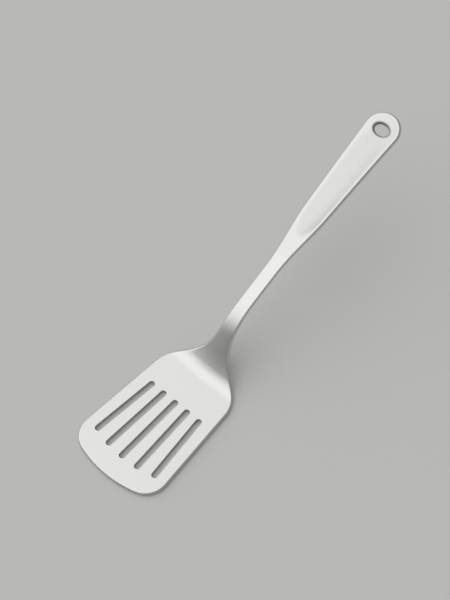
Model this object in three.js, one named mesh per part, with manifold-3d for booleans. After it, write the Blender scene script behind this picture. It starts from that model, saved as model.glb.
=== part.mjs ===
// A slotted kitchen turner in stainless steel. Millimetres, +Z up.
// The blade lies flat, its front edge towards -X, and the hollow handle rises towards +X.
import * as THREE from 'three';
import { mergeVertices } from 'three/addons/utils/BufferGeometryUtils.js';
import Module from 'manifold-3d';

// Blade
const BLADE_LENGTH = 104.5;
const BLADE_FRONT_WIDTH = 81.6;
const BLADE_REAR_WIDTH = 71.4;
const SHEET_THICKNESS = 3;
const FRONT_EDGE_RADIUS = 96;
const FRONT_CORNER_RADIUS = 19;
const SHOULDER_SETBACK = 9.5;
const FLARE_LENGTH = 44;
const FLARE_END_WIDTH = 13.4;
const FLARE_EASE = 0.53;

// Slots, counted across the blade
const SLOT_COUNT = 5;
const SLOT_WIDTH = 4.8;
const SLOT_REAR_PITCH = 12;
const SLOT_FRONT_PITCH = 14.5;
const SLOT_FRONT_MARGIN = 17;
const SLOT_REAR_MARGIN = 24.7;

// Heel bend, neck and crank, measured along the middle of the sheet
const HEEL_RADIUS = 17;
const HEEL_SLOPE = THREE.MathUtils.degToRad(50);
const NECK_LENGTH = 30;
const NECK_SLOPE = THREE.MathUtils.degToRad(56.5);
const CRANK_RADIUS = 50;
const HANDLE_SLOPE = THREE.MathUtils.degToRad(24.5);
const NECK_REACH = 45;
const NECK_WIDTH = 11.5;
const NECK_TAPER = 20;

// Hollow handle, measured from its mouth along its middle
const HANDLE_LENGTH = 134.5;
const HANDLE_BOW_RADIUS = 1700;
const SWELL_LEAD = 16;
const SWELL_LENGTH = 40;
const GRIP_LOWER_WIDTH = 22;
const GRIP_UPPER_WIDTH = 29.2;
const END_ROUND = 14.7;
const GRIP_RIM = 1.9;
const UPPER_CROWN = 0.7;
const LOWER_CROWN = 1.6;
const CROWN_LEAD = 19;
const CROWN_RISE = 14;
const CROWN_RUNOUT = 22;
const SHELL_WALL = 0.5;

// Tang inside the handle, and how far it is rooted in the neck
const TANG_LENGTH = 30;
const TANG_ROOT = 1;

// Hanging eyelet
const EYE_FROM_END = 14.7;
const EYE_BORE_ACROSS = 12.4;
const EYE_BORE_ALONG = 8.6;
const EYE_LIP = 1.8;
const EYE_LAND = 0.25;

// Welds
const SEAM_WELD_HEIGHT = 0.7;
const NECK_WELD_LENGTH = 0.9;

// Clearances between pieces
const WELD_GAP = 0.15;
const TANG_CLEARANCE = 0.3;
const TANG_SIDE_CLEARANCE = 0.7;
const EYE_CLEARANCE = 0.15;

// Facets
const ARC_STEP = THREE.MathUtils.degToRad(6);
const CHORD_ERROR = 0.05;
const HANDLE_STATIONS = 24;
const END_STATIONS = 8;
const RIM_STEPS = 3;
const CROWN_STEPS = 4;
const OVAL_STEPS = 32;
const LIP_STEPS = 4;
const OUTLINE_STEPS = 10;
const SLOT_END_STEPS = 6;
const SWELL_STEPS = 4;

// How far cutting bodies run past what they cut, and the limits that keep a body closed
const MARGIN = 10;
const LEAST_CROWN = 0.02;
const LEAST_HALF_WIDTH = 0.2;
const LEAST_STEP = 1e-3;
const MERGE_DISTANCE = 1e-4;
const MOST_RIM_SHARE = 0.8;
const MOST_LIP_SHARE = 0.95;

// Steel finishes
const SATIN_SHEET = { color: 0xd6d6d4, roughness: 0.38 };
const SATIN_SHELL = { color: 0xd8d8d6, roughness: 0.36 };
const GROUND_WELD = { color: 0xcfcfcc, roughness: 0.42 };
const POLISHED_LIP = { color: 0xc9c9c6, roughness: 0.32 };

const wasm = await Module();
wasm.setup();

// A closed geometry as a solid that can be joined and cut.
function solid(geometry) {
  const bare = geometry.clone();
  bare.deleteAttribute('normal');
  bare.deleteAttribute('uv');
  const merged = mergeVertices(bare, MERGE_DISTANCE);
  return new wasm.Manifold(new wasm.Mesh({
    numProp: 3,
    vertProperties: merged.attributes.position.array,
    triVerts: new Uint32Array(merged.index.array),
  }));
}

// The solid's surface as a geometry with flat facets.
function geometryOf(made) {
  const { vertProperties, triVerts } = made.getMesh();
  const geometry = new THREE.BufferGeometry();
  geometry.setAttribute('position', new THREE.Float32BufferAttribute(vertProperties, 3));
  geometry.setIndex(Array.from(triVerts));
  const flat = geometry.toNonIndexed();
  flat.computeVertexNormals();
  return flat;
}

// The side line: straight and round stretches in the XZ plane, walked from the front edge.
class SideLine {
  constructor(start, stretches) {
    this.knots = [{ s: 0, angle: 0, ...start }];
    this.stretches = stretches;
    for (const stretch of stretches) {
      const last = this.knots[this.knots.length - 1];
      const end = SideLine.walk(last, stretch, stretch.length);
      this.knots.push({ ...end, s: last.s + stretch.length });
    }
  }

  // The place reached after going some way along a stretch of constant turn.
  static walk(from, { length, turn }, along) {
    const angle = from.angle + turn * along / length;
    if (turn === 0) {
      return {
        x: from.x + along * Math.cos(angle),
        z: from.z + along * Math.sin(angle),
        angle,
      };
    }
    const radius = length / turn;
    return {
      x: from.x + radius * (Math.sin(angle) - Math.sin(from.angle)),
      z: from.z - radius * (Math.cos(angle) - Math.cos(from.angle)),
      angle,
    };
  }

  // The place at distance s, on the straight beyond either end too.
  at(s) {
    const last = this.knots.length - 1;
    if (s > this.knots[last].s) {
      return SideLine.walk(this.knots[last], { length: 1, turn: 0 }, s - this.knots[last].s);
    }
    let i = 0;
    while (i < last - 1 && s > this.knots[i + 1].s) i += 1;
    return SideLine.walk(this.knots[i], this.stretches[i], s - this.knots[i].s);
  }

  // A point lifted off the line, across it.
  point(s, lift) {
    const { x, z, angle } = this.at(s);
    return new THREE.Vector2(x - lift * Math.sin(angle), z + lift * Math.cos(angle));
  }

  // How many chords follow a stretch closely.
  static chords({ length, turn }) {
    if (turn === 0) return 1;
    const radius = Math.abs(length / turn);
    const step = Math.min(ARC_STEP, 2 * Math.acos(1 - CHORD_ERROR / radius));
    return Math.ceil(Math.abs(turn) / step);
  }

  // Distances from one place to another that follow every bend.
  stations(from, to) {
    const list = [from];
    this.stretches.forEach((stretch, i) => {
      const steps = SideLine.chords(stretch);
      for (let k = 0; k <= steps; k += 1) {
        const s = this.knots[i].s + stretch.length * k / steps;
        if (s > list[list.length - 1] + LEAST_STEP && s < to - LEAST_STEP) list.push(s);
      }
    });
    list.push(to);
    return list;
  }
}

const crankTurn = HANDLE_SLOPE - NECK_SLOPE;
const weldGap = NECK_WELD_LENGTH + 2 * WELD_GAP;
const handleRun = NECK_REACH + weldGap + HANDLE_LENGTH;
const side = new SideLine({ x: 0, z: SHEET_THICKNESS / 2 }, [
  { length: BLADE_LENGTH, turn: 0 },
  { length: HEEL_RADIUS * HEEL_SLOPE, turn: HEEL_SLOPE },
  { length: NECK_LENGTH, turn: NECK_SLOPE - HEEL_SLOPE },
  { length: CRANK_RADIUS * Math.abs(crankTurn), turn: crankTurn },
  { length: handleRun, turn: -handleRun / HANDLE_BOW_RADIUS },
]);
const crankEnd = side.knots[side.knots.length - 2].s;
const neckEnd = crankEnd + NECK_REACH;
const mouth = neckEnd + weldGap;

// The eyelet's middle, the margin of its hole round the bore, and the place where the crown has run out
const eyePlace = HANDLE_LENGTH - EYE_FROM_END;
const eyeMargin = EYE_LIP + EYE_LAND;
const crownEnd = eyePlace - EYE_BORE_ALONG / 2 - eyeMargin - EYE_CLEARANCE;

// A band between two lifts over the side line, as wide as the whole blade.
function band(from, to, low, high) {
  const stations = side.stations(from, to);
  const over = stations.map((s) => side.point(s, high));
  const under = stations.map((s) => side.point(s, low)).reverse();
  const depth = BLADE_FRONT_WIDTH + 2 * MARGIN;
  const geometry = new THREE.ExtrudeGeometry(new THREE.Shape([...under, ...over]), {
    depth,
    bevelEnabled: false,
  });
  geometry.rotateX(Math.PI / 2);
  geometry.translate(0, depth / 2, 0);
  return solid(geometry);
}

// A prism that stands through the whole height of the turner on an outline seen from above.
function prism(shape, curveSegments) {
  const low = -MARGIN;
  const depth = side.at(mouth + HANDLE_LENGTH).z + 2 * MARGIN - low;
  const geometry = new THREE.ExtrudeGeometry(shape, { depth, bevelEnabled: false, curveSegments });
  geometry.translate(0, 0, low);
  return solid(geometry);
}

const smooth = (t) => THREE.MathUtils.smoothstep(t, 0, 1);
const lerp = THREE.MathUtils.lerp;

// The half width of neck and handle at a distance from the mouth, before the handle's round end.
function halfWidthAt(u) {
  const roundStart = HANDLE_LENGTH - END_ROUND;
  const share = (Math.min(u, roundStart) - SWELL_LENGTH) / (roundStart - SWELL_LENGTH);
  const grip = lerp(GRIP_LOWER_WIDTH, GRIP_UPPER_WIDTH, share);
  const swell = smooth((u + SWELL_LEAD) / (SWELL_LEAD + SWELL_LENGTH));
  return lerp(NECK_WIDTH, grip, swell) / 2;
}

// The outline of blade and neck from above: one half, then its mirror image.
function bladeOutline() {
  const frontHalf = BLADE_FRONT_WIDTH / 2;
  const cornerAcross = frontHalf - FRONT_CORNER_RADIUS;
  const reach = FRONT_EDGE_RADIUS - FRONT_CORNER_RADIUS;
  const cornerAlong = FRONT_EDGE_RADIUS - Math.sqrt(reach ** 2 - cornerAcross ** 2);
  const cornerAngle = Math.PI - Math.atan2(cornerAcross, FRONT_EDGE_RADIUS - cornerAlong);
  const shoulder = new THREE.Vector2(BLADE_LENGTH - SHOULDER_SETBACK, BLADE_REAR_WIDTH / 2);
  const sideTaper = (shoulder.y - frontHalf) / (shoulder.x - cornerAlong);
  const cornerEnd = Math.PI / 2 + Math.atan(sideTaper);
  const flareEnd = new THREE.Vector2(shoulder.x + FLARE_LENGTH, FLARE_END_WIDTH / 2);
  const slim = new THREE.Vector2(flareEnd.x + NECK_TAPER, NECK_WIDTH / 2);
  const neckTaper = (slim.y - flareEnd.y) / NECK_TAPER;
  const ease = FLARE_EASE * FLARE_LENGTH;
  const half = new THREE.Path();
  half.moveTo(0, 0);
  half.absarc(FRONT_EDGE_RADIUS, 0, FRONT_EDGE_RADIUS, Math.PI, cornerAngle, true);
  half.absarc(cornerAlong, cornerAcross, FRONT_CORNER_RADIUS, cornerAngle, cornerEnd, true);
  half.lineTo(shoulder.x, shoulder.y);
  half.bezierCurveTo(
    shoulder.x + ease, shoulder.y + ease * sideTaper,
    flareEnd.x - ease, flareEnd.y - ease * neckTaper,
    flareEnd.x, flareEnd.y,
  );
  half.quadraticCurveTo((flareEnd.x + slim.x) / 2, slim.y, slim.x, slim.y);
  const lead = neckEnd - mouth + SWELL_LEAD;
  for (let k = 0; k <= SWELL_STEPS; k += 1) {
    const u = lead * k / SWELL_STEPS - SWELL_LEAD;
    half.lineTo(side.at(mouth + u).x, halfWidthAt(u));
  }
  half.lineTo(side.at(neckEnd).x + MARGIN, halfWidthAt(neckEnd - mouth));
  const upper = half.getPoints(OUTLINE_STEPS);
  const lower = upper.slice(1).reverse().map((p) => new THREE.Vector2(p.x, -p.y));
  return new THREE.Shape([...upper, ...lower]);
}

// One slot: a straight stretch with round ends, fanned out with its place in the row.
function slotOutline(place) {
  const radius = SLOT_WIDTH / 2;
  const frontAcross = place * SLOT_FRONT_PITCH;
  const bow = FRONT_EDGE_RADIUS - Math.sqrt(FRONT_EDGE_RADIUS ** 2 - frontAcross ** 2);
  const front = new THREE.Vector2(SLOT_FRONT_MARGIN + radius + bow, frontAcross);
  const rear = new THREE.Vector2(BLADE_LENGTH - SLOT_REAR_MARGIN - radius, place * SLOT_REAR_PITCH);
  const along = Math.atan2(rear.y - front.y, rear.x - front.x);
  const shape = new THREE.Shape();
  shape.absarc(rear.x, rear.y, radius, along - Math.PI / 2, along + Math.PI / 2, false);
  shape.absarc(front.x, front.y, radius, along + Math.PI / 2, along + 1.5 * Math.PI, false);
  return shape;
}

// Half a handle section: a round rim that runs tangent into a low crown. Returns points from rim to top.
function archPoints(halfWidth, height, rim) {
  const reach = halfWidth - rim;
  const crownRadius = (reach ** 2 + height ** 2 - rim ** 2) / (2 * (height - rim));
  const tangent = Math.atan2(crownRadius - height, reach);
  const points = [];
  for (let k = 0; k < RIM_STEPS; k += 1) {
    const a = tangent * k / RIM_STEPS;
    points.push([reach + rim * Math.cos(a), rim * Math.sin(a)]);
  }
  for (let k = 0; k <= CROWN_STEPS; k += 1) {
    const a = tangent + (Math.PI / 2 - tangent) * k / CROWN_STEPS;
    points.push([crownRadius * Math.cos(a), height - crownRadius + crownRadius * Math.sin(a)]);
  }
  return points;
}

// The handle's half width, rim and heights at a distance from the mouth, drawn in by an inset all round.
function handleSection(u, inset) {
  const roundStart = HANDLE_LENGTH - END_ROUND;
  const past = THREE.MathUtils.clamp((u - roundStart) / (END_ROUND - inset), 0, 1);
  const halfWidth = Math.max((halfWidthAt(u) - inset) * Math.sqrt(1 - past ** 2), LEAST_HALF_WIDTH);
  const swell = smooth(u / SWELL_LENGTH);
  const rim = Math.min(lerp(SHEET_THICKNESS / 2, GRIP_RIM, swell) - inset, MOST_RIM_SHARE * halfWidth);
  const rise = smooth((u - CROWN_LEAD) / CROWN_RISE);
  const crown = rise * smooth((crownEnd - u) / CROWN_RUNOUT);
  return {
    halfWidth,
    rim,
    above: rim + LEAST_CROWN + UPPER_CROWN * crown,
    below: rim + LEAST_CROWN + LOWER_CROWN * crown,
  };
}

// The ring of points round the handle at a distance from the mouth.
function handleRing(u, inset) {
  const { halfWidth, rim, above, below } = handleSection(u, inset);
  const { x, z, angle } = side.at(mouth + u);
  const top = archPoints(halfWidth, above, rim);
  const bottom = archPoints(halfWidth, below, rim);
  const mirror = (list) => list.slice(0, -1).reverse().map(([y, h]) => [-y, h]);
  const over = [...top, ...mirror(top)];
  const under = [...bottom, ...mirror(bottom)].map(([y, h]) => [y, -h]).reverse().slice(1, -1);
  return [...over, ...under].map(([y, h]) => (
    new THREE.Vector3(x - h * Math.sin(angle), y, z + h * Math.cos(angle))));
}

// A closed body through a row of rings with as many points each.
function loft(rings) {
  const count = rings[0].length;
  const position = rings.flat().flatMap((p) => [p.x, p.y, p.z]);
  const index = [];
  for (let r = 0; r + 1 < rings.length; r += 1) {
    for (let k = 0; k < count; k += 1) {
      const a = r * count + k;
      const b = r * count + (k + 1) % count;
      index.push(a, b, a + count, b, b + count, a + count);
    }
  }
  const last = (rings.length - 1) * count;
  for (let k = 1; k + 1 < count; k += 1) {
    index.push(0, k + 1, k);
    index.push(last, last + k, last + k + 1);
  }
  const geometry = new THREE.BufferGeometry();
  geometry.setAttribute('position', new THREE.Float32BufferAttribute(position, 3));
  geometry.setIndex(index);
  return solid(geometry);
}

// Distances from the mouth for the handle's rings, closer together round its end.
function handleStations(from, inset) {
  const roundStart = HANDLE_LENGTH - END_ROUND;
  const list = [];
  if (from < 0) list.push(from);
  for (let k = 0; k <= HANDLE_STATIONS; k += 1) list.push(roundStart * k / HANDLE_STATIONS);
  for (let k = 1; k <= END_STATIONS; k += 1) {
    list.push(roundStart + (END_ROUND - inset) * Math.sin(Math.PI / 2 * k / END_STATIONS));
  }
  return list;
}

// The handle as a full body, drawn in by an inset all round.
function handleBody(from, inset) {
  return loft(handleStations(from, inset).map((u) => handleRing(u, inset)));
}

// An oval column through the handle at the hanging hole. sizes gives half sizes at each lift.
function ovalColumn(sizes) {
  const { x, z, angle } = side.at(mouth + eyePlace);
  return loft(sizes.map(({ lift, along, across }) => (
    Array.from({ length: OVAL_STEPS }, (_, k) => {
      const a = 2 * Math.PI * k / OVAL_STEPS;
      const run = along * Math.cos(a);
      return new THREE.Vector3(
        x + run * Math.cos(angle) - lift * Math.sin(angle),
        across * Math.sin(a),
        z + run * Math.sin(angle) + lift * Math.cos(angle),
      );
    }))));
}

// A plain oval column with both half sizes grown by some amount.
function ovalPlug(grow) {
  const along = EYE_BORE_ALONG / 2 + grow;
  const across = EYE_BORE_ACROSS / 2 + grow;
  return ovalColumn([-MARGIN, MARGIN].map((lift) => ({ lift, along, across })));
}

// Blade, neck and tang, pressed from one sheet
function makeBlade() {
  const half = SHEET_THICKNESS / 2;
  let made = band(-MARGIN, neckEnd, -half, half).intersect(prism(bladeOutline(), OUTLINE_STEPS));
  for (let i = 0; i < SLOT_COUNT; i += 1) {
    made = made.subtract(prism(slotOutline(i - (SLOT_COUNT - 1) / 2), SLOT_END_STEPS));
  }
  return made.add(makeTang(0));
}

// The tang, thinned to slide between the shells, or the room that it needs.
function makeTang(clearance) {
  const lift = SHEET_THICKNESS / 2 - SHELL_WALL - TANG_CLEARANCE + clearance;
  const halfWidth = halfWidthAt(0) - SHELL_WALL - TANG_SIDE_CLEARANCE + clearance;
  const from = side.at(neckEnd - TANG_ROOT).x;
  const to = side.at(mouth + TANG_LENGTH).x;
  const shape = new THREE.Shape();
  shape.moveTo(from, -halfWidth);
  shape.lineTo(to - halfWidth, -halfWidth);
  shape.absarc(to - halfWidth, 0, halfWidth, -Math.PI / 2, Math.PI / 2, false);
  shape.lineTo(from, halfWidth);
  const sheet = band(neckEnd - MARGIN, mouth + TANG_LENGTH + MARGIN, -lift, lift);
  return sheet.intersect(prism(shape, SLOT_END_STEPS));
}

// The weld ring round the tang, between the neck's shoulder and the handle's mouth
function makeNeckWeld() {
  const start = WELD_GAP - weldGap;
  const rings = [start, start + NECK_WELD_LENGTH].map((u) => handleRing(u, 0));
  return loft(rings).subtract(makeTang(WELD_GAP));
}

const outer = handleBody(0, 0);
const hollow = handleBody(-MARGIN, SHELL_WALL);
const wall = outer.subtract(hollow);
const seamHalf = SEAM_WELD_HEIGHT / 2;
const eyeHole = ovalPlug(eyeMargin + EYE_CLEARANCE);
const handleFrom = mouth - MARGIN;
const handleTo = mouth + HANDLE_LENGTH + MARGIN;
const farSide = GRIP_RIM + UPPER_CROWN + LOWER_CROWN + MARGIN;

// The pressed shell over the seam
function makeUpperShell() {
  return wall.intersect(band(handleFrom, handleTo, seamHalf + WELD_GAP, farSide)).subtract(eyeHole);
}

// The pressed shell under the seam
function makeLowerShell() {
  return wall.intersect(band(handleFrom, handleTo, -farSide, -seamHalf - WELD_GAP)).subtract(eyeHole);
}

// The weld that runs round the rim between the two shells
function makeSeamWeld() {
  return wall.intersect(band(handleFrom, handleTo, -seamHalf, seamHalf));
}

// The oval bush that lines the hanging hole, its lips rounded into the bore
function makeEyelet() {
  const { above, below } = handleSection(eyePlace, 0);
  const lip = Math.min(EYE_LIP, MOST_LIP_SHARE * above, MOST_LIP_SHARE * below);
  const sizes = [];
  const addRing = (lift, grow) => sizes.push({
    lift,
    along: EYE_BORE_ALONG / 2 + grow,
    across: EYE_BORE_ACROSS / 2 + grow,
  });
  addRing(-below - MARGIN, lip);
  for (let k = 0; k <= LIP_STEPS; k += 1) {
    const a = Math.PI / 2 * k / LIP_STEPS;
    addRing(-below + lip * (1 - Math.cos(a)), lip * (1 - Math.sin(a)));
  }
  for (let k = LIP_STEPS; k >= 0; k -= 1) {
    const a = Math.PI / 2 * k / LIP_STEPS;
    addRing(above - lip * (1 - Math.cos(a)), lip * (1 - Math.sin(a)));
  }
  addRing(above + MARGIN, lip);
  return outer.intersect(ovalPlug(eyeMargin)).subtract(ovalColumn(sizes));
}

// A named piece in its own steel.
function piece(name, made, finish) {
  const material = new THREE.MeshStandardMaterial({ ...finish, metalness: 1 });
  const mesh = new THREE.Mesh(geometryOf(made), material);
  mesh.name = name;
  return mesh;
}

const turner = new THREE.Group();
turner.add(
  piece('blade', makeBlade(), SATIN_SHEET),
  piece('neck_weld', makeNeckWeld(), GROUND_WELD),
  piece('handle_upper_shell', makeUpperShell(), SATIN_SHELL),
  piece('handle_lower_shell', makeLowerShell(), SATIN_SHELL),
  piece('seam_weld', makeSeamWeld(), GROUND_WELD),
  piece('hanging_eyelet', makeEyelet(), POLISHED_LIP),
);

// The origin sits under the middle of the turner, on the plane that the blade rests on.
const box = new THREE.Box3().setFromObject(turner);
const middle = box.getCenter(new THREE.Vector3());
for (const mesh of turner.children) mesh.position.set(-middle.x, -middle.y, -box.min.z);

export default turner;
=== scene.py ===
"""A slotted stainless steel turner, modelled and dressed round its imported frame.

Every piece is modelled flat, in millimetres, as a sheet-metal worker would lay it out: X is the distance
along the tool from the blade's front edge, Y runs across it and Z is the lift off the sheet's middle. Then
it is formed along the tool's side line and brought to metres.
"""
import logging
import math
from dataclasses import dataclass
from enum import Enum
from functools import cache, partial
from typing import Callable, Sequence

import bmesh
import bpy
from bpy import ops
from bpy.types import Material, Node, NodeSocket, NodeTree, Object
from mathutils import Matrix, Vector


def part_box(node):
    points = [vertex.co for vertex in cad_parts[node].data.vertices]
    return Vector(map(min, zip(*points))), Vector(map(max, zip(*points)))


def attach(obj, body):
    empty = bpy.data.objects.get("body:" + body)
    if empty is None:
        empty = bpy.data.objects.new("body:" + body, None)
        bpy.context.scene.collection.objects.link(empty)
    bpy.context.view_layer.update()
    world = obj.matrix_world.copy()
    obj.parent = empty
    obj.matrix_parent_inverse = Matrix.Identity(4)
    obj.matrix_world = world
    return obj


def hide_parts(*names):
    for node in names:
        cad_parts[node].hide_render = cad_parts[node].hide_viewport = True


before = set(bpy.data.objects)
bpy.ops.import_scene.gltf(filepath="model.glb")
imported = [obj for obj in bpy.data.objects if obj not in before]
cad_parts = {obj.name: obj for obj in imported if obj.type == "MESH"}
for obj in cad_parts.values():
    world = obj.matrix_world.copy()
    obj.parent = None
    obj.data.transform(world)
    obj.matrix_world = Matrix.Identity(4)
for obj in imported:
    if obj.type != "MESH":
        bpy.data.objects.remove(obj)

LOG = logging.getLogger("turner")
BODY = "root"
EDGE_ATTRIBUTE = "edge"
CROWN_ATTRIBUTE = "crown"
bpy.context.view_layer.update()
MM = 0.001

# Distances in millimetres: found closely enough, the same vertex, on a plane, a sliver, held to a cut
SEEK = 1e-5
SAME_PLACE = 1e-4
ON_PLANE = 1e-3
SLIVER = 0.002
SNAP = 0.02

# The part of a normal along a direction when its face looks that way, and when it looks another way
FACING = 0.9
TURNED = 0.5

SMOOTH_ANGLE = math.radians(40.0)

Point = tuple[float, float, float]
Colour = tuple[float, float, float]
Outline = list[tuple[float, float]]
Section = Callable[[float], Outline]


class Pick(Enum):
    """What a selection in edit mode is made of."""

    EDGES = "EDGE"
    FACES = "FACE"


class Side(Enum):
    """Which face of the hollow handle a skin covers."""

    UPPER = 1
    LOWER = -1


class Socket(Enum):
    """The kinds of socket that a node group has."""

    NUMBER = "NodeSocketFloat"
    COLOUR = "NodeSocketColor"
    VECTOR = "NodeSocketVector"


Sockets = dict[Socket, Sequence[str]]


def smooth(t: float) -> float:
    """An ease from 0 to 1 that starts and stops level, at t held between 0 and 1."""
    t = min(max(t, 0.0), 1.0)
    return t * t * (3.0 - 2.0 * t)


def blend(a: float, b: float, share: float) -> float:
    """The value some share of the way from a to b."""
    return a + (b - a) * share


def spread(first: float, last: float, count: int) -> list[float]:
    """The ends of count even steps from first to last."""
    return [blend(first, last, k / count) for k in range(count + 1)]


def arc(x: float, y: float, radius: float, angles: Sequence[float]) -> Outline:
    """The places at given angles on a circle round a centre."""
    return [(x + radius * math.cos(angle), y + radius * math.sin(angle)) for angle in angles]


def along_curve(guides: Sequence[Vector], t: float) -> tuple[float, float]:
    """The place some share t of the way along the curve that guide points lead."""
    while len(guides) > 1:
        guides = [a.lerp(b, t) for a, b in zip(guides, guides[1:])]
    return guides[0].x, guides[0].y


def leave_edit() -> None:
    """Leaves edit mode."""
    ops.object.mode_set(mode="OBJECT")


def deselect_all() -> None:
    """Leaves edit mode and lets go of every object."""
    if bpy.context.object and bpy.context.object.mode != "OBJECT":
        leave_edit()
    ops.object.select_all(action="DESELECT")


def activate(piece: Object) -> None:
    """Makes a piece the only selected object."""
    deselect_all()
    piece.select_set(True)
    bpy.context.view_layer.objects.active = piece


def edit(piece: Object) -> None:
    """Opens a piece in edit mode."""
    activate(piece)
    ops.object.mode_set(mode="EDIT")


def begin(name: str, primitive: Callable[..., object], **settings: object) -> Object:
    """Adds a primitive as a new piece.

    Args:
        name: The new piece's name.
        primitive: The operator that adds it.
        settings: The operator's own settings.

    Returns:
        The new piece.
    """
    deselect_all()
    primitive(**settings)
    bpy.context.object.name = name
    return bpy.context.object


def pick(piece: Object, kind: Pick, wanted: Callable[[object], bool]) -> None:
    """Selects what passes a test, in a piece that is open in edit mode.

    Args:
        piece: The piece in edit mode.
        kind: Whether edges or faces are picked.
        wanted: The test for each of them.
    """
    ops.mesh.select_mode(type=kind.value)
    ops.mesh.select_all(action="DESELECT")
    mesh = bmesh.from_edit_mesh(piece.data)
    mesh.normal_update()
    for element in filter(wanted, mesh.edges if kind is Pick.EDGES else mesh.faces):
        element.select_set(True)
    mesh.select_flush_mode()
    bmesh.update_edit_mesh(piece.data)


def apply_modifier(piece: Object, kind: str, **settings: object) -> None:
    """Adds a modifier to a piece, sets it and applies it.

    Args:
        piece: The piece to change.
        kind: Blender's name for the modifier.
        settings: The modifier's own settings.
    """
    activate(piece)
    modifier = piece.modifiers.new(kind.title(), kind)
    for name, value in settings.items():
        setattr(modifier, name, value)
    ops.object.modifier_apply(modifier=modifier.name)


def mirror_across(piece: Object) -> None:
    """Completes a half piece with its mirror image across the tool's middle plane."""
    apply_modifier(piece, "MIRROR", use_axis=(False, True, False), use_clip=True, merge_threshold=ON_PLANE)


def merge_all(threshold: float) -> None:
    """Selects the piece that is open in edit mode and merges vertices closer than a threshold."""
    ops.mesh.select_all(action="SELECT")
    ops.mesh.remove_doubles(threshold=threshold)


def recalculate(piece: Object) -> None:
    """Merges doubled vertices of a piece and turns all its faces outwards."""
    edit(piece)
    merge_all(SAME_PLACE)
    ops.mesh.normals_make_consistent(inside=False)
    leave_edit()


def clear_slivers(piece: Object) -> None:
    """Merges the corners of slivers that cuts left behind and deletes faces that hang on by one side."""
    edit(piece)
    merge_all(SLIVER)
    ops.mesh.dissolve_degenerate(threshold=SLIVER)
    pick(piece, Pick.FACES, lambda face: any(len(side.link_faces) == 1 for side in face.edges))
    ops.mesh.delete(type="FACE")
    leave_edit()


def draw_chain(name: str, points: Sequence[Point]) -> Object:
    """Draws a chain of edges by pulling one vertex from point to point.

    Args:
        name: The new piece's name.
        points: The places that the chain passes through.

    Returns:
        The new piece.
    """
    piece = begin(name, ops.mesh.primitive_plane_add, size=1.0)
    edit(piece)
    ops.mesh.merge(type="CENTER")
    ops.transform.translate(value=points[0])
    for start, stop in zip(points, points[1:]):
        step = Vector(stop) - Vector(start)
        ops.mesh.extrude_vertices_move(TRANSFORM_OT_translate={"value": step})
    leave_edit()
    return piece


def store(piece: Object, name: str, values: Sequence[float]) -> None:
    """Stores a number for each vertex of a piece, for its finish to read."""
    layer = piece.data.attributes.new(name, "FLOAT", "POINT")
    layer.data.foreach_set("value", values)


def mark_edges(piece: Object) -> None:
    """Stores on a flat piece how far each vertex faces away from the sheet's two faces, the mask of the
    painted shade on edges.
    """
    store(piece, EDGE_ATTRIBUTE, [1.0 - abs(vertex.normal.z) for vertex in piece.data.vertices])


def cut_away(piece: Object, cutter: Object) -> None:
    """Cuts one solid out of another and removes the cutter."""
    apply_modifier(piece, "BOOLEAN", operation="DIFFERENCE", solver="EXACT", object=cutter)
    bpy.data.objects.remove(cutter)


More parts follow.
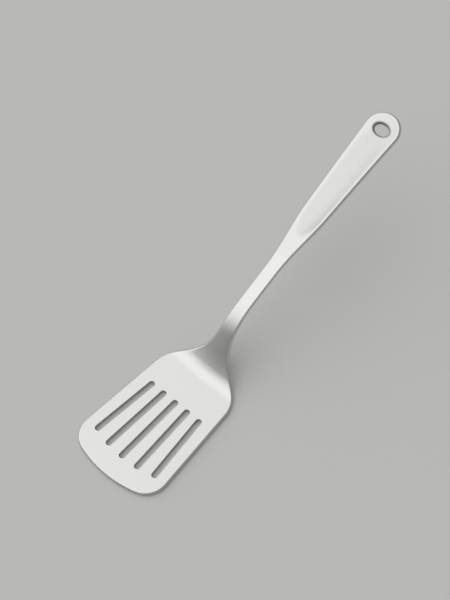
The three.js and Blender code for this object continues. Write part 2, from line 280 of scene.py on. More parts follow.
@dataclass
class SideLine:
    """The line that the middle of the sheet follows, seen from the side.

    It runs flat under the blade, turns up through the heel bend, climbs the neck, eases through the crank
    and follows the long bow of the handle. Lengths are in millimetres and angles in radians.
    """

    flat: float = 104.5
    heel_radius: float = 17.0
    heel_slope: float = math.radians(50.0)
    neck_length: float = 30.0
    neck_slope: float = math.radians(56.5)
    crank_radius: float = 50.0
    handle_slope: float = math.radians(24.5)
    bow_radius: float = 1700.0
    neck_reach: float = 45.0
    neck_joint: float = 1.2
    handle_length: float = 134.5
    thickness: float = 3.0
    step: float = 0.5
    heel_ease: float = 3.0
    crank_ease: float = 9.0
    ease_spots: Sequence[float] = (-1.0, -0.5, 0.0, 0.5, 1.0)
    path: Object | None = None

    def __post_init__(self) -> None:
        """Works out where each stretch starts and how far it turns."""
        crank_turn = self.handle_slope - self.neck_slope
        run = self.neck_reach + self.neck_joint + self.handle_length
        self.stretches = [
            (self.flat, 0.0),
            (self.heel_radius * self.heel_slope, self.heel_slope),
            (self.neck_length, self.neck_slope - self.heel_slope),
            (self.crank_radius * abs(crank_turn), crank_turn),
            (run, -run / self.bow_radius),
        ]
        self.heel_start = self.flat
        self.heel_end = self.heel_start + self.stretches[1][0]
        self.crank_start = self.heel_end + self.neck_length
        self.crank_end = self.crank_start + self.stretches[3][0]
        self.neck_end = self.crank_end + self.neck_reach
        self.mouth = self.neck_end + self.neck_joint
        self.end = self.mouth + self.handle_length

    def at(self, distance: float) -> tuple[float, float, float]:
        """The place and slope at a distance from the front edge.

        Args:
            distance: The distance along the line.

        Returns:
            How far back, how far up, and the slope there.
        """
        x, z, angle = 0.0, self.thickness / 2, 0.0
        for length, turn in self.stretches:
            along = min(distance, length)
            end = angle + turn * along / length
            if turn:
                radius = length / turn
                x += radius * (math.sin(end) - math.sin(angle))
                z -= radius * (math.cos(end) - math.cos(angle))
            else:
                x += along * math.cos(angle)
                z += along * math.sin(angle)
            angle = end
            distance -= along
            if distance <= 0.0:
                break
        return x, z, angle

    def eased(self, distance: float) -> tuple[float, float]:
        """The place at a distance, with each bend eased in and out as a press leaves it.

        Args:
            distance: The distance along the line.

        Returns:
            How far back and how far up.
        """
        share = smooth((distance - self.heel_end) / (self.crank_start - self.heel_end))
        reach = min(blend(self.heel_ease, self.crank_ease, share), distance, self.end - distance)
        places = [self.at(distance + reach * spot) for spot in self.ease_spots]
        x = sum(place[0] for place in places) / len(places)
        z = sum(place[1] for place in places) / len(places)
        return x, z

    def distance_at(self, x: float) -> float:
        """The distance along the line at which it is x behind the front edge."""
        low, high = 0.0, self.end
        while high - low > SEEK:
            middle = (low + high) / 2
            if self.at(middle)[0] < x:
                low = middle
            else:
                high = middle
        return low

    def make_path(self) -> None:
        """Draws the line as a curve for pieces to be formed along."""
        curve = bpy.data.curves.new("side_line", "CURVE")
        curve.dimensions = "3D"
        curve.twist_mode = "Z_UP"
        curve.use_deform_bounds = False
        spline = curve.splines.new("POLY")
        count = round(self.end / self.step)
        spline.points.add(count)
        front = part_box("blade")[0][0] / MM
        for index, point in enumerate(spline.points):
            x, z = self.eased(self.end * index / count)
            point.co = (front + x, 0.0, z, 1.0)
        self.path = bpy.data.objects.new("side_line", curve)
        bpy.context.scene.collection.objects.link(self.path)

    def form(self, piece: Object) -> None:
        """Bends a flat piece along the line, brings it to metres and smooths its faces."""
        apply_modifier(piece, "CURVE", object=self.path, deform_axis="POS_X")
        piece.scale = (MM, MM, MM)
        ops.object.transform_apply(location=True, rotation=True, scale=True)
        ops.object.shade_smooth_by_angle(angle=SMOOTH_ANGLE)

    def remove_path(self) -> None:
        """Removes the curve once every piece is formed."""
        bpy.data.objects.remove(self.path)


def add_node(tree: NodeTree, kind: str, feeds: dict[str | int, object], **settings: object) -> Node:
    """Adds a node to a tree, sets it and feeds its inputs.

    Args:
        tree: The tree to add it to.
        kind: Blender's name for the node.
        feeds: What each input takes: a socket to link or a constant.
        settings: The node's own settings.

    Returns:
        The node.
    """
    node = tree.nodes.new(kind)
    for name, value in settings.items():
        setattr(node, name, value)
    for label, feed in feeds.items():
        if isinstance(feed, NodeSocket):
            tree.links.new(feed, node.inputs[label])
        else:
            node.inputs[label].default_value = feed
    return node


def calculate(tree: NodeTree, kind: str, a: object, b: object) -> NodeSocket:
    """The result of a maths node that takes two sockets or constants."""
    return add_node(tree, "ShaderNodeMath", {0: a, 1: b}, operation=kind).outputs[0]


def fade(tree: NodeTree, value: NodeSocket, low: float, high: float) -> NodeSocket:
    """A smooth rise from 0 to 1 while a value goes from low to high."""
    feeds = {"Value": value, "From Min": low, "From Max": high}
    return add_node(tree, "ShaderNodeMapRange", feeds, interpolation_type="SMOOTHSTEP").outputs["Result"]


def mix(tree: NodeTree, share: object, a: object, b: object) -> NodeSocket:
    """The colour some share of the way from a to b."""
    feeds = {"Factor": share, "A": a, "B": b}
    return add_node(tree, "ShaderNodeMix", feeds, data_type="RGBA").outputs["Result"]


class SteelGroups:
    """The node groups that every steel finish shares."""

    streak_detail: float = 4.0
    streak_roughness: float = 0.65
    cloud_scale: float = 28.0
    cloud_detail: float = 3.0
    crown_fade: tuple[float, float] = (0.0, 0.5)
    edge_fade: tuple[float, float] = (0.25, 0.85)

    @staticmethod
    def start(name: str, ins: Sockets, outs: Sockets) -> NodeTree:
        """Starts a node group with named sockets.

        Args:
            name: The group's name.
            ins: The names of its inputs of each kind.
            outs: The names of its outputs of each kind.

        Returns:
            The group, with its input and output nodes in place.
        """
        tree = bpy.data.node_groups.new(name, "ShaderNodeTree")
        for way, sockets in (("INPUT", ins), ("OUTPUT", outs)):
            for kind, labels in sockets.items():
                for label in labels:
                    tree.interface.new_socket(name=label, in_out=way, socket_type=kind.value)
        tree.nodes.new("NodeGroupInput").name = "in"
        tree.nodes.new("NodeGroupOutput").name = "out"
        return tree

    @staticmethod
    def put_out(tree: NodeTree, results: dict[str, NodeSocket]) -> None:
        """Links a group's results to its named outputs."""
        for label, result in results.items():
            tree.links.new(result, tree.nodes["out"].inputs[label])

    @classmethod
    @cache
    def grain(cls) -> NodeTree:
        """Brushed streaks along the tool, and the slow clouding under them.

        Returns:
            The group, made on first use.
        """
        ins = {Socket.VECTOR: ["Place"], Socket.NUMBER: ["Across", "Along"]}
        tree = cls.start("brushed_grain", ins, {Socket.NUMBER: ["Streaks", "Clouds"]})
        given = tree.nodes["in"].outputs
        sizes = {"X": given["Along"], "Y": given["Across"], "Z": given["Along"]}
        scale = add_node(tree, "ShaderNodeCombineXYZ", sizes).outputs["Vector"]
        feeds = {0: given["Place"], 1: scale}
        stretched = add_node(tree, "ShaderNodeVectorMath", feeds, operation="MULTIPLY").outputs["Vector"]
        feeds = {"Vector": stretched, "Scale": 1.0}
        feeds |= {"Detail": cls.streak_detail, "Roughness": cls.streak_roughness}
        streaks = add_node(tree, "ShaderNodeTexNoise", feeds).outputs["Fac"]
        feeds = {"Vector": given["Place"], "Scale": cls.cloud_scale, "Detail": cls.cloud_detail}
        clouds = add_node(tree, "ShaderNodeTexNoise", feeds).outputs["Fac"]
        cls.put_out(tree, {"Streaks": streaks, "Clouds": clouds})
        return tree

    @classmethod
    @cache
    def tones(cls) -> NodeTree:
        """Colour and roughness of steel from its grain and its clouding, with painted shade darkening its
        edges and the handle's crown.

        Returns:
            The group, made on first use.
        """
        numbers = ["Tone Swing", "Roughness", "Roughness Swing", "Streaks", "Clouds", "Crown", "Edge"]
        ins = {Socket.COLOUR: ["Tone", "Crown Tone", "Edge Tone"], Socket.NUMBER: numbers}
        outs = {Socket.COLOUR: ["Colour"], Socket.NUMBER: ["Roughness"]}
        tree = cls.start("steel_tones", ins, outs)
        given = tree.nodes["in"].outputs
        pattern = calculate(tree, "ADD", given["Streaks"], given["Clouds"])
        centred = calculate(tree, "SUBTRACT", pattern, 1.0)
        # Painted shade: the handle's crown darkens towards the crown tone.
        on_crown = fade(tree, given["Crown"], *cls.crown_fade)
        by_crown = mix(tree, on_crown, given["Tone"], given["Crown Tone"])
        # Painted shade: edges and walls darken towards the edge tone.
        on_edge = fade(tree, given["Edge"], *cls.edge_fade)
        by_edge = mix(tree, on_edge, by_crown, given["Edge Tone"])
        swing = calculate(tree, "MULTIPLY", centred, given["Tone Swing"])
        light = calculate(tree, "ADD", swing, 1.0)
        colour = add_node(tree, "ShaderNodeVectorMath", {0: by_edge, "Scale": light}, operation="SCALE")
        rough_swing = calculate(tree, "MULTIPLY", centred, given["Roughness Swing"])
        rough = calculate(tree, "ADD", rough_swing, given["Roughness"])
        cls.put_out(tree, {"Colour": colour.outputs["Vector"], "Roughness": rough})
        return tree


@dataclass(frozen=True)
class SteelFinish:
    """A satin finish on stainless steel.

    Grain sizes are in millimetres. Tone is the metal's own colour; the crown tone is a darker colour painted
    on the handle's crown and the edge tone a darker one painted on edges and walls, both as painted shade;
    tone_swing and roughness_swing say how much the grain and the clouding of the surface change it.
    """

    slot: str
    tone: Colour
    # A darker colour painted on the handle's crown: painted shade.
    crown_tone: Colour = (0.580, 0.579, 0.568)
    # A darker colour painted on edges and walls: painted shade.
    edge_tone: Colour = (0.56, 0.56, 0.545)
    roughness: float = 0.27
    roughness_swing: float = 0.04
    tone_swing: float = 0.02
    grain_width: float = 0.35
    grain_length: float = 30.0
    grain_depth: float = 0.0008

    @cache
    def material(self) -> Material:
        """The finish as a node material.

        Returns:
            The material, made on first use.
        """
        made = bpy.data.materials.new(f"turner_{self.slot}")
        made.use_nodes = True
        tree = made.node_tree
        tree.nodes.clear()
        feeds = {
            "Place": tree.nodes.new("ShaderNodeTexCoord").outputs["Object"],
            "Across": 1.0 / (self.grain_width * MM),
            "Along": 1.0 / (self.grain_length * MM),
        }
        grain = add_node(tree, "ShaderNodeGroup", feeds, node_tree=SteelGroups.grain())
        # Masks for the painted shade on the handle's crown and on edges.
        crown = add_node(tree, "ShaderNodeAttribute", {}, attribute_name=CROWN_ATTRIBUTE)
        edge = add_node(tree, "ShaderNodeAttribute", {}, attribute_name=EDGE_ATTRIBUTE)
        streaks = grain.outputs["Streaks"]
        feeds = {
            "Tone": (*self.tone, 1.0),
            "Crown Tone": (*self.crown_tone, 1.0),
            "Edge Tone": (*self.edge_tone, 1.0),
            "Tone Swing": self.tone_swing,
            "Roughness": self.roughness,
            "Roughness Swing": self.roughness_swing,
            "Streaks": streaks,
            "Clouds": grain.outputs["Clouds"],
            "Crown": crown.outputs["Fac"],
            "Edge": edge.outputs["Fac"],
        }
        tones = add_node(tree, "ShaderNodeGroup", feeds, node_tree=SteelGroups.tones())
        feeds = {"Strength": 1.0, "Distance": self.grain_depth * MM, "Height": streaks}
        bump = add_node(tree, "ShaderNodeBump", feeds)
        feeds = {
            "Metallic": 1.0,
            "Base Color": tones.outputs["Colour"],
            "Roughness": tones.outputs["Roughness"],
            "Normal": bump.outputs["Normal"],
        }
        shader = add_node(tree, "ShaderNodeBsdfPrincipled", feeds)
        add_node(tree, "ShaderNodeOutputMaterial", {"Surface": shader.outputs["BSDF"]})
        return made


SATIN_SHEET = SteelFinish(slot="satin_sheet", tone=(0.666, 0.665, 0.653), grain_length=22.0)
# The shells' tone is a little darker than the sheet's: painted shade on the handle.
SATIN_SHELL = SteelFinish(slot="satin_shell", tone=(0.642, 0.641, 0.629))
GROUND_WELD = SteelFinish(
    slot="ground_weld", tone=(0.654, 0.653, 0.641), roughness_swing=0.10, tone_swing=0.045,
    grain_width=0.3, grain_length=9.0, grain_depth=0.004,
)
# The eyelet's lip is painted dark and its bore darker still: painted shade in the hole.
SHADED_LIP = SteelFinish(
    slot="polished_lip", tone=(0.42, 0.419, 0.41), edge_tone=(0.22, 0.219, 0.214), roughness_swing=0.10,
    tone_swing=0.06, grain_width=0.4, grain_length=12.0, grain_depth=0.004,
)


def dress(piece: Object, node: str, finish: SteelFinish) -> None:
    """Gives a finished piece its steel and puts it in the place of a solid of the frame.

    Args:
        piece: The finished piece.
        node: The solid that it stands for.
        finish: The steel that it is made of.
    """
    piece.data.materials.clear()
    piece.data.materials.append(finish.material())
    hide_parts(node)
    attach(piece, BODY)
    triangles = sum(len(face.vertices) - 2 for face in piece.data.polygons)
    LOG.info("%s: %d triangles in %s", piece.name, triangles, finish.slot)


@dataclass
class GripShape:
    """The outline and the cross sections of neck and hollow handle, measured from the handle's mouth.

    All sizes are in millimetres.
    """

    line: SideLine
    neck_width: float = 11.5
    swell_lead: float = 16.0
    swell_length: float = 40.0
    lower_width: float = 22.0
    upper_width: float = 29.2
    end_round: float = 14.7
    rim: float = 1.9
    upper_crown: float = 1.0
    lower_crown: float = 1.6
    crown_lead: float = 18.0
    crown_rise: float = 15.0
    crown_nose: float = 5.0
    crown_runout: float = 22.0
    land: float = 0.7
    # Where the painted shade on the crown fades out towards the round end.
    crown_shade_end: float = 130.0
    crown_shade_fade: float = 34.0
    eye_from_end: float = 14.7
    eye_along: float = 8.6
    eye_across: float = 12.4
    eye_lip: float = 1.8
    eye_land: float = 0.25
    rim_steps: int = 8
    crown_steps: int = 30

    def __post_init__(self) -> None:
        """Works out where the round end starts, where the eyelet sits and where the crown has run out."""
        self.round_start = self.line.handle_length - self.end_round
        self.eye_place = self.line.handle_length - self.eye_from_end
        self.crown_end = self.eye_place - self.eye_along / 2 - self.eye_lip - self.eye_land

    def half_width(self, u: float) -> float:
        """Half the width of neck or handle at a distance from the mouth."""
        share = (min(u, self.round_start) - self.swell_length) / (self.round_start - self.swell_length)
        grip = blend(self.lower_width, self.upper_width, share)
        swell = smooth((u + self.swell_lead) / (self.swell_lead + self.swell_length))
        return blend(self.neck_width, grip, swell) / 2

    def rim_at(self, u: float) -> float:
        """The radius of the rounded edge at a distance from the mouth."""
        return blend(self.line.thickness / 2, self.rim, smooth(u / self.swell_length))

    def crown_height(self, side: Side) -> float:
        """The crown's full height on one face."""
        return self.upper_crown if side is Side.UPPER else self.lower_crown

    def crown_at(self, u: float, across: float, side: Side) -> float:
        """How far the crown stands over the land round it, a tongue with a round tip towards the neck.

        The upper crown runs on over the round end; the lower one runs out before the eyelet.

        Args:
            u: The distance from the mouth.
            across: The distance from the middle plane.
            side: The face that the crown is on.

        Returns:
            The crown's rise there.
        """
        radius = math.hypot(across, max(u - self.round_start, 0.0))
        share = radius / (self.half_width(u) - self.rim_at(u) - self.land)
        if share >= 1.0:
            return 0.0
        along = (u - self.crown_lead - self.crown_nose * share**2) / self.crown_rise
        along = min(max(along, 0.0), 1.0)
        run = along * (2.0 - along)
        if side is Side.LOWER:
            run *= smooth((self.crown_end - u) / self.crown_runout)
        return self.crown_height(side) * run * (1.0 - share**2)

    def crown_shade_at(self, u: float, across: float, side: Side) -> float:
        """How far the painted shade on the crown covers a place: fully on it, not at all on land or end."""
        cover = smooth((self.crown_shade_end - u) / self.crown_shade_fade)
        return cover * self.crown_at(u, across, side) / self.crown_height(side)

    def arch(self, u: float, side: Side, seam: float) -> Outline:
        """Half a section: up the rounded edge from the seam, over the land and the crown to the middle.

        Args:
            u: The distance from the mouth.
            side: The face that the arch covers.
            seam: How far off the middle plane the arch starts.

        Returns:
            Distance across and lift of each point.
        """
        rim = self.rim_at(u)
        reach = self.half_width(u) - rim
        start = math.asin(seam / rim)
        points = arc(reach, 0.0, rim, spread(start, math.pi / 2, self.rim_steps)[:-1])
        for across in spread(reach, 0.0, self.crown_steps):
            points.append((across, rim + self.crown_at(u, across, side)))
        return [(across, side.value * lift) for across, lift in points]


@dataclass
class Blade:
    """The one-piece pressing: slotted blade, heel, cranked neck and the tang inside the handle.

    Sizes are in millimetres, turn steps in radians. slot_end_share, just under a half, keeps the two
    roundings of a slot's end from crossing.
    """

    line: SideLine
    grip: GripShape
    front_width: float = 81.6
    rear_width: float = 71.4
    front_edge_radius: float = 96.0
    front_corner_radius: float = 19.0
    shoulder_setback: float = 9.5
    flare_length: float = 44.0
    flare_end_width: float = 13.4
    flare_ease: float = 0.53
    neck_taper: float = 20.0
    slot_count: int = 5
    slot_width: float = 4.8
    slot_rear_pitch: float = 12.0
    slot_front_pitch: float = 14.5
    slot_front_margin: float = 17.0
    slot_rear_margin: float = 24.7
    slot_end_share: float = 0.4999
    edge_round: float = 1.46
    slot_round: float = 0.25
    neck_camber: float = 0.07
    camber_cuts: Sequence[float] = (-15.0, -10.0, -6.0, -3.0, 0.0, 3.0, 6.0, 10.0, 15.0)
    tang_length: float = 30.0
    tang_inset: float = 0.8
    cutter_depth: float = 12.0
    heel_turn_step: float = math.radians(2.5)
    crank_turn_step: float = math.radians(1.5)
    arc_steps: int = 22
    flare_steps: int = 44
    neck_steps: int = 12
    neck_cuts: int = 8
    reach_cuts: int = 4
    edge_segments: int = 6
    slot_segments: int = 3
    slot_end_segments: int = 14
    normal_weight: int = 80

    def half_outline(self) -> Outline:
        """The blank's outline on one side, from the middle of the front edge to the middle of the neck's end.

        Returns:
            Distance along the sheet and across it of each point.
        """
        plan = self.front_points() + self.flare_points()
        flat = [(self.line.distance_at(x), y) for x, y in plan]
        first = -self.grip.swell_lead
        last = self.line.neck_end - self.line.mouth
        for u in spread(first, last, self.neck_steps):
            flat.append((self.line.mouth + u, self.grip.half_width(u)))
        flat.append((self.line.neck_end, 0.0))
        return flat

    def front_points(self) -> Outline:
        """Plan points of the bowed front edge, the round corner and the straight side up to the shoulder."""
        radius = self.front_edge_radius
        corner = self.front_corner_radius
        corner_across = self.front_width / 2 - corner
        corner_along = self.corner_along()
        corner_angle = math.pi - math.atan2(corner_across, radius - corner_along)
        side_angle = math.pi / 2 + math.atan(self.side_taper())
        front_angles = spread(math.pi, corner_angle, self.arc_steps)
        corner_angles = spread(corner_angle, side_angle, self.arc_steps)
        front = arc(radius, 0.0, radius, front_angles[:-1])
        return front + arc(corner_along, corner_across, corner, corner_angles)

    def corner_along(self) -> float:
        """How far behind the front edge the centre of the round corner lies."""
        reach = self.front_edge_radius - self.front_corner_radius
        across = self.front_width / 2 - self.front_corner_radius
        return self.front_edge_radius - math.sqrt(reach**2 - across**2)

    def side_taper(self) -> float:
        """How much the blade narrows along its straight side."""
        return (self.rear_width - self.front_width) / 2 / (self.shoulder_along() - self.corner_along())

    def shoulder_along(self) -> float:
        """Where the straight side ends and the flare begins."""
        return self.line.flat - self.shoulder_setback

    def flare_points(self) -> Outline:
        """Plan points of the flare from the shoulder into the neck, and of the neck's own taper."""
        ease = self.flare_ease * self.flare_length
        shoulder = Vector((self.shoulder_along(), self.rear_width / 2))
        end = Vector((shoulder.x + self.flare_length, self.flare_end_width / 2))
        slim = Vector((end.x + self.neck_taper, self.grip.neck_width / 2))
        neck_lean = (slim.y - end.y) / self.neck_taper
        first = shoulder + Vector((ease, ease * self.side_taper()))
        second = end - Vector((ease, ease * neck_lean))
        flare = (shoulder, first, second, end)
        points = [along_curve(flare, t) for t in spread(0.0, 1.0, self.flare_steps)[:-1]]
        taper = (end, Vector(((end.x + slim.x) / 2, slim.y)), slim)
        return points + [along_curve(taper, t) for t in spread(0.0, 1.0, self.neck_steps)]

    def slot_cutter(self, place: float) -> Object:
        """A long block with round ends that cuts one slot.

        Args:
            place: The slot's place in the row, 0 in the middle.

        Returns:
            The cutter.
        """
        radius = self.slot_width / 2
        across = place * self.slot_front_pitch
        bow = self.front_edge_radius - math.sqrt(self.front_edge_radius**2 - across**2)
        front = Vector((self.slot_front_margin + radius + bow, across, 0.0))
        rear = Vector((self.line.flat - self.slot_rear_margin - radius, place * self.slot_rear_pitch, 0.0))
        length = (rear - front).length + self.slot_width
        cutter = begin("cutter", ops.mesh.primitive_cube_add, size=1.0)
        edit(cutter)
        ops.transform.resize(value=(length, self.slot_width, self.cutter_depth))
        pick(cutter, Pick.EDGES, lambda e: abs(e.verts[0].co.z - e.verts[1].co.z) > self.line.thickness)
        end_round = self.slot_end_share * self.slot_width
        ops.mesh.bevel(offset=end_round, segments=self.slot_end_segments, affect="EDGES")
        merge_all(SLIVER)
        leave_edit()
        cutter.rotation_euler.z = math.atan2(rear.y - front.y, rear.x - front.x)
        cutter.location = (front + rear) / 2
        ops.object.transform_apply(location=True, rotation=True, scale=True)
        return cutter

    def round_rims(self, piece: Object, offset: float, segments: int) -> None:
        """Rounds the square edges that stand on the sheet's two faces, up to the neck's end.

        Args:
            piece: The flat blank.
            offset: How much of each face the rounding takes.
            segments: Steps in the rounding.
        """
        half = self.line.thickness / 2
        limit = self.line.neck_end - ON_PLANE

        def on_rim(edge: bmesh.types.BMEdge) -> bool:
            """True for an edge between a face of the sheet and a wall."""
            ends = [vertex.co for vertex in edge.verts]
            if any(abs(abs(end.z) - half) > ON_PLANE for end in ends):
                return False
            if all(end.x > limit for end in ends):
                return False
            slopes = [abs(face.normal.z) for face in edge.link_faces]
            return max(slopes) > FACING and min(slopes) < TURNED

        edit(piece)
        pick(piece, Pick.EDGES, on_rim)
        ops.mesh.bevel(offset=offset, segments=segments, affect="EDGES")
        leave_edit()

    def add_tang(self, piece: Object) -> None:
        """Draws the thinned tang out of the neck's end."""
        edit(piece)
        end = self.line.neck_end - ON_PLANE
        pick(piece, Pick.FACES, lambda f: f.normal.x > FACING and f.calc_center_median().x > end)
        ops.mesh.inset(thickness=self.tang_inset)
        reach = self.line.neck_joint + self.tang_length
        ops.mesh.extrude_region_move(TRANSFORM_OT_translate={"value": (reach, 0.0, 0.0)})
        leave_edit()

    def cut_stations(self, piece: Object) -> None:
        """Cuts the blank across at close steps wherever it is going to bend."""
        line = self.line
        heel_count = math.ceil(line.heel_slope / self.heel_turn_step)
        crank_count = math.ceil((line.neck_slope - line.handle_slope) / self.crank_turn_step)
        stretches = (
            (line.heel_start, line.heel_end, heel_count),
            (line.heel_end, line.crank_start, self.neck_cuts),
            (line.crank_start, line.crank_end, crank_count),
            (line.crank_end, line.neck_end, self.reach_cuts),
        )
        edit(piece)
        for first, last, count in stretches:
            for station in spread(first, last, count)[:-1]:
                ops.mesh.select_all(action="SELECT")
                ops.mesh.bisect(plane_co=(station, 0.0, 0.0), plane_no=(1.0, 0.0, 0.0), threshold=SNAP)
        leave_edit()

    def half_width_at(self, distance: float, outline: Outline) -> float:
        """Half the blank's width at a distance along it, read off its outline."""
        for (start, first), (stop, second) in zip(outline, outline[1:]):
            if start <= distance < stop:
                return blend(first, second, (distance - start) / (stop - start))
        return outline[-2][1]

    def camber_neck(self, piece: Object) -> None:
        """Cambers the neck slightly across, fading out at the heel and at the crank's end.

        neck_camber is the slope that the camber reaches at the neck's edges.
        """
        line = self.line
        edit(piece)
        for across in self.camber_cuts:
            pick(piece, Pick.FACES, lambda f: line.heel_start < f.calc_center_median().x < line.crank_end)
            ops.mesh.bisect(plane_co=(0.0, across, 0.0), plane_no=(0.0, 1.0, 0.0), threshold=SNAP)
        leave_edit()
        outline = self.half_outline()
        for vertex in piece.data.vertices:
            distance = vertex.co.x
            rise = smooth((distance - line.heel_start) / (line.heel_end - line.heel_start))
            fall = smooth((line.crank_end - distance) / (line.crank_end - line.crank_start))
            half = self.half_width_at(distance, outline)
            share = min(abs(vertex.co.y) / half, 1.0)
            vertex.co.z += self.neck_camber * rise * fall * half / 2 * (1.0 - share**2)

    def build(self) -> Object:
        """Blanks the sheet, pierces its slots, rounds its edges and forms it.

        Returns:
            The finished piece.
        """
        piece = draw_chain("turner_blade", [(x, y, 0.0) for x, y in self.half_outline()])
        mirror_across(piece)
        edit(piece)
        ops.mesh.select_all(action="SELECT")
        ops.mesh.edge_face_add()
        leave_edit()
        apply_modifier(piece, "SOLIDIFY", thickness=self.line.thickness, offset=0.0)
        recalculate(piece)
        self.round_rims(piece, self.edge_round, self.edge_segments)
        for index in range(self.slot_count):
            cut_away(piece, self.slot_cutter(index - (self.slot_count - 1) / 2))
        self.round_rims(piece, self.slot_round, self.slot_segments)
        self.cut_stations(piece)
        self.add_tang(piece)
        recalculate(piece)
        mark_edges(piece)
        self.camber_neck(piece)
        self.line.form(piece)
        apply_modifier(piece, "WEIGHTED_NORMAL", keep_sharp=True, weight=self.normal_weight)
        return piece

    def dress(self, piece: Object) -> None:
        """Gives the blade its brushed sheet finish."""
        dress(piece, "blade", SATIN_SHEET)


@dataclass
class Handle:
    """The hollow handle: two pressed shells, the weld along their rim and the weld at the mouth.

    All sizes are in millimetres.
    """

    line: SideLine
    grip: GripShape
    wall: float = 0.5
    seam_height: float = 0.7
    stations: int = 150
    end_steps: int = 28
    seam_steps: int = 4
    hole_steps: int = 96
    cutter_depth: float = 20.0

    def skin(self, name: str, first: float, last: float, section: Section) -> Object:
        """Stretches half a skin over sections along the handle.

        Args:
            name: The new piece's name.
            first: Where the skin starts, from the mouth.
            last: Where it stops.
            section: Gives the points of the half section at a distance from the mouth.

        Returns:
            The half skin.
        """
        rows = max(2, math.ceil((last - first) / self.grip.round_start * self.stations))
        columns = len(section(first))
        squares = {"x_subdivisions": rows, "y_subdivisions": columns - 1}
        piece = begin(name, ops.mesh.primitive_grid_add, size=2.0, **squares)
        for vertex in piece.data.vertices:
            share = (vertex.co.x + 1.0) / 2
            index = round((vertex.co.y + 1.0) / 2 * (columns - 1))
            u = blend(first, last, share)
            across, lift = section(u)[index]
            vertex.co = (self.line.mouth + u, across, lift)
        return piece

    def spin_end(self, piece: Object) -> None:
        """Turns a skin's last section about the round end's centre, as far as the middle plane."""
        centre = self.line.mouth + self.grip.round_start
        edit(piece)
        pick(piece, Pick.EDGES, lambda e: all(v.co.x > centre - ON_PLANE for v in e.verts))
        ops.mesh.spin(
            steps=self.end_steps, angle=math.pi / 2, center=(centre, 0.0, 0.0), axis=(0.0, 0.0, 1.0)
        )
        leave_edit()

    def thicken(self, piece: Object) -> None:
        """Completes a half skin across the middle and gives it its wall, inwards."""
        mirror_across(piece)
        recalculate(piece)
        self.face_out(piece)
        apply_modifier(piece, "SOLIDIFY", thickness=self.wall, offset=-1.0, use_even_offset=True)

    def face_out(self, piece: Object) -> None:
        """Flips an open skin whose faces look into the handle."""
        outward = 0.0
        for face in piece.data.polygons:
            outward += face.normal.dot((0.0, face.center.y, face.center.z)) * face.area
        if outward < 0.0:
            piece.data.flip_normals()

    def eye_cutter(self) -> Object:
        """An oval column that cuts the eyelet's seat through a shell."""
        grip = self.grip
        margin = grip.eye_lip + grip.eye_land
        sizes = {"vertices": self.hole_steps, "radius": 1.0, "depth": self.cutter_depth}
        cutter = begin("cutter", ops.mesh.primitive_cylinder_add, **sizes)
        edit(cutter)
        ops.transform.resize(value=(grip.eye_along / 2 + margin, grip.eye_across / 2 + margin, 1.0))
        ops.transform.translate(value=(self.line.mouth + grip.eye_place, 0.0, 0.0))
        leave_edit()
        return cutter

    def mark_crown(self, piece: Object, side: Side) -> None:
        """Stores on a flat shell how far the crown's painted shade covers each vertex."""
        mouth = self.line.mouth
        spots = [vertex.co for vertex in piece.data.vertices]
        values = [self.grip.crown_shade_at(spot.x - mouth, abs(spot.y), side) for spot in spots]
        store(piece, CROWN_ATTRIBUTE, values)

    def build_shell(self, side: Side) -> Object:
        """Presses one shell of the handle and pierces it for the eyelet.

        Args:
            side: Which shell.

        Returns:
            The finished piece.
        """
        section = partial(self.grip.arch, side=side, seam=self.seam_height / 2)
        piece = self.skin(f"turner_handle_{side.name.lower()}", 0.0, self.grip.round_start, section)
        self.spin_end(piece)
        self.thicken(piece)
        cut_away(piece, self.eye_cutter())
        clear_slivers(piece)
        self.mark_crown(piece, side)
        self.line.form(piece)
        return piece

    def build_seam(self) -> Object:
        """Runs the ground weld round the rim between the shells.

        Returns:
            The finished piece.
        """
        def section(u: float) -> Outline:
            """The weld's outer face at the middle of the rim."""
            rim = self.grip.rim_at(u)
            reach = self.grip.half_width(u) - rim
            limit = math.asin(self.seam_height / 2 / rim)
            return arc(reach, 0.0, rim, spread(-limit, limit, self.seam_steps))

        piece = self.skin("turner_seam_weld", 0.0, self.grip.round_start, section)
        self.spin_end(piece)
        self.thicken(piece)
        self.line.form(piece)
        return piece

    def build_neck_weld(self) -> Object:
        """Closes the ring between the neck's shoulder and the handle's mouth.

        Returns:
            The finished piece.
        """
        def section(u: float) -> Outline:
            """The whole half section, from the middle of the underside to the middle of the top."""
            lower = self.grip.arch(u, Side.LOWER, 0.0)
            upper = self.grip.arch(u, Side.UPPER, 0.0)
            return lower[::-1] + upper[1:]

        piece = self.skin("turner_neck_weld", -self.line.neck_joint, 0.0, section)
        self.thicken(piece)
        self.line.form(piece)
        return piece

    def build(self) -> dict[str, Object]:
        """Builds the shells and the welds.

        Returns:
            Each piece by the name of the solid that it stands for.
        """
        return {
            "handle_upper_shell": self.build_shell(Side.UPPER),
            "handle_lower_shell": self.build_shell(Side.LOWER),
            "seam_weld": self.build_seam(),
            "neck_weld": self.build_neck_weld(),
        }

    def dress(self, pieces: dict[str, Object]) -> None:
        """Gives the shells their satin finish, with painted shade, and the welds their ground one."""
        for node, piece in pieces.items():
            dress(piece, node, GROUND_WELD if node.endswith("weld") else SATIN_SHELL)


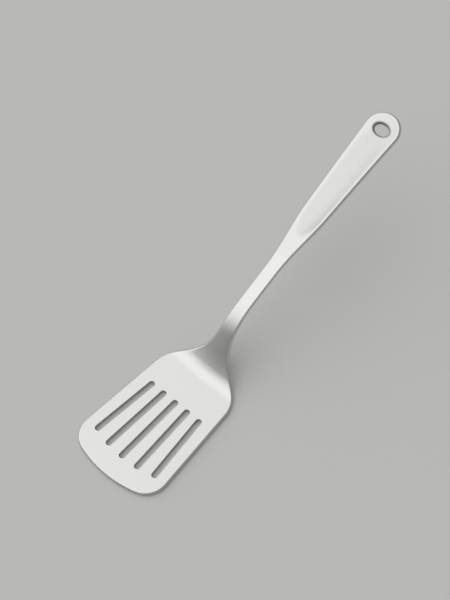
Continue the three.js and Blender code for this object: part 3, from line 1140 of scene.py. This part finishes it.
@dataclass
class Eyelet:
    """The oval bush that lines the hanging hole, its lips rounded into the bore."""

    line: SideLine
    grip: GripShape
    around: int = 96
    lip_steps: int = 8

    def rings(self) -> Outline:
        """Growth over the bore and lift of each ring, from the top's outer edge down to the underside's."""
        top = self.grip.rim_at(self.grip.eye_place)
        lip = self.grip.eye_lip
        upper = [(lip + self.grip.eye_land, top)]
        for angle in spread(0.0, math.pi / 2, self.lip_steps):
            upper.append((lip * (1 - math.sin(angle)), top - lip * (1 - math.cos(angle))))
        return upper + [(grow, -lift) for grow, lift in reversed(upper)]

    def build(self) -> Object:
        """Draws the bush from ring to ring and closes its outside.

        Returns:
            The finished piece.
        """
        along = self.grip.eye_along / 2
        across = self.grip.eye_across / 2
        centre = (self.line.mouth + self.grip.eye_place, 0.0, 0.0)
        rings = self.rings()
        grow, lift = rings[0]
        sizes = {"vertices": self.around, "radius": 1.0, "fill_type": "NOTHING"}
        piece = begin("turner_hanging_eyelet", ops.mesh.primitive_circle_add, **sizes)
        edit(piece)
        ops.transform.resize(value=(along + grow, across + grow, 1.0))
        ops.transform.translate(value=(centre[0], 0.0, lift))
        for next_grow, next_lift in rings[1:]:
            drop = (0.0, 0.0, next_lift - lift)
            ops.mesh.extrude_region_move(TRANSFORM_OT_translate={"value": drop})
            narrow = ((along + next_grow) / (along + grow), (across + next_grow) / (across + grow), 1.0)
            ops.transform.resize(value=narrow, center_override=centre)
            grow, lift = next_grow, next_lift
        pick(piece, Pick.EDGES, lambda outside: len(outside.link_faces) == 1)
        ops.mesh.bridge_edge_loops()
        leave_edit()
        recalculate(piece)
        mark_edges(piece)
        self.follow_crown(piece)
        self.line.form(piece)
        return piece

    def follow_crown(self, piece: Object) -> None:
        """Lifts the upper lip of the flat bush to the crown of the shell round it."""
        top = self.grip.rim_at(self.grip.eye_place)
        for vertex in piece.data.vertices:
            if vertex.co.z > 0.0:
                u = vertex.co.x - self.line.mouth
                rise = self.grip.crown_at(u, abs(vertex.co.y), Side.UPPER)
                vertex.co.z *= 1.0 + rise / top

    def dress(self, piece: Object) -> None:
        """Gives the eyelet its dark lip finish: painted shade in the hole."""
        dress(piece, "hanging_eyelet", SHADED_LIP)


@dataclass
class Studio:
    """Pale floor, soft light from above and behind, and the camera at the photograph's angle.

    The camera's target and distance and its lens are in millimetres, the floor and clip_end in metres, and
    angles in degrees. light_levels says how bright the sky is by how far it faces light_from.
    """

    floor_size: float = 60.0
    floor_tone: Colour = (0.64, 0.637, 0.62)
    floor_roughness: float = 0.8
    floor_drop: float = 0.0002
    azimuth: float = -47.184
    elevation: float = 61.203
    roll: float = -0.925
    distance: float = 1500.0
    target: Point = (2.612, 27.952, 11.496)
    lens: float = 116.54
    clip_end: float = 100.0
    light_from: Point = (-0.15, 0.60, 0.78)
    dim_from: float = -0.3
    dim_to: float = 0.2
    dim_level: float = 0.92
    light_levels: Sequence[tuple[float, float]] = (
        (0.0, 0.42), (0.12, 0.28), (0.28, 0.18), (0.43, 0.26), (0.53, 0.55),
        (0.63, 0.85), (0.72, 1.08), (0.80, 1.24), (0.90, 1.32), (1.0, 1.30),
    )

    def build_floor(self) -> None:
        """Lays the pale floor just under the blade."""
        place = (0.0, 0.0, -self.floor_drop)
        floor = begin("floor", ops.mesh.primitive_plane_add, size=self.floor_size, location=place)
        made = bpy.data.materials.new("floor_paint")
        made.use_nodes = True
        shader = made.node_tree.nodes["Principled BSDF"]
        shader.inputs["Base Color"].default_value = (*self.floor_tone, 1.0)
        shader.inputs["Roughness"].default_value = self.floor_roughness
        floor.data.materials.append(made)

    def build_light(self) -> None:
        """Makes a soft sky that is brightest above the tool's left and a little dimmer over its handle."""
        world = bpy.data.worlds.new("studio")
        bpy.context.scene.world = world
        world.use_nodes = True
        tree = world.node_tree
        background = tree.nodes["Background"]
        place = tree.nodes.new("ShaderNodeTexCoord").outputs["Generated"]
        feeds = {0: place, 1: Vector(self.light_from).normalized()}
        facing = add_node(tree, "ShaderNodeVectorMath", feeds, operation="DOT_PRODUCT")
        level = add_node(tree, "ShaderNodeValToRGB", {"Fac": facing.outputs["Value"]})
        ramp = level.color_ramp
        ramp.interpolation = "EASE"
        while len(ramp.elements) < len(self.light_levels):
            ramp.elements.new(1.0)
        peak = max(value for _, value in self.light_levels)
        for element, (position, value) in zip(ramp.elements, self.light_levels):
            element.position = position
            element.color = (value / peak, value / peak, value / peak, 1.0)
        feeds = {
            "Value": add_node(tree, "ShaderNodeSeparateXYZ", {"Vector": place}).outputs["X"],
            "From Min": self.dim_from,
            "From Max": self.dim_to,
            "To Min": peak,
            "To Max": peak * self.dim_level,
        }
        dimming = add_node(tree, "ShaderNodeMapRange", feeds, interpolation_type="SMOOTHSTEP")
        tree.links.new(level.outputs["Color"], background.inputs["Color"])
        tree.links.new(dimming.outputs["Result"], background.inputs["Strength"])

    def build_camera(self) -> None:
        """Stands the camera where the photograph was taken from."""
        a = math.radians(self.azimuth)
        e = math.radians(self.elevation)
        back = Vector((math.sin(a) * math.cos(e), -math.cos(a) * math.cos(e), math.sin(e)))
        right = Vector((math.cos(a), math.sin(a), 0.0))
        turned = Matrix.Rotation(math.radians(self.roll), 3, back)
        right = turned @ right
        up = back.cross(right)
        data = bpy.data.cameras.new("camera")
        data.lens = self.lens
        data.clip_end = self.clip_end
        camera = bpy.data.objects.new("camera", data)
        bpy.context.scene.collection.objects.link(camera)
        place = (Vector(self.target) + back * self.distance) * MM
        camera.matrix_world = Matrix.Translation(place) @ Matrix((right, up, back)).transposed().to_4x4()
        bpy.context.scene.camera = camera

    def build(self) -> None:
        """Sets up floor, light and camera."""
        bpy.context.scene.view_settings.view_transform = "Standard"
        self.build_floor()
        self.build_light()
        self.build_camera()


def main() -> None:
    """Builds and dresses every piece in order, then the studio."""
    logging.basicConfig(level=logging.INFO, format="%(name)s: %(message)s")
    line = SideLine()
    grip = GripShape(line)
    line.make_path()
    blade = Blade(line, grip)
    blade.dress(blade.build())
    handle = Handle(line, grip)
    handle.dress(handle.build())
    eyelet = Eyelet(line, grip)
    eyelet.dress(eyelet.build())
    line.remove_path()
    Studio().build()
    deselect_all()


if __name__ == "__main__":
    main()
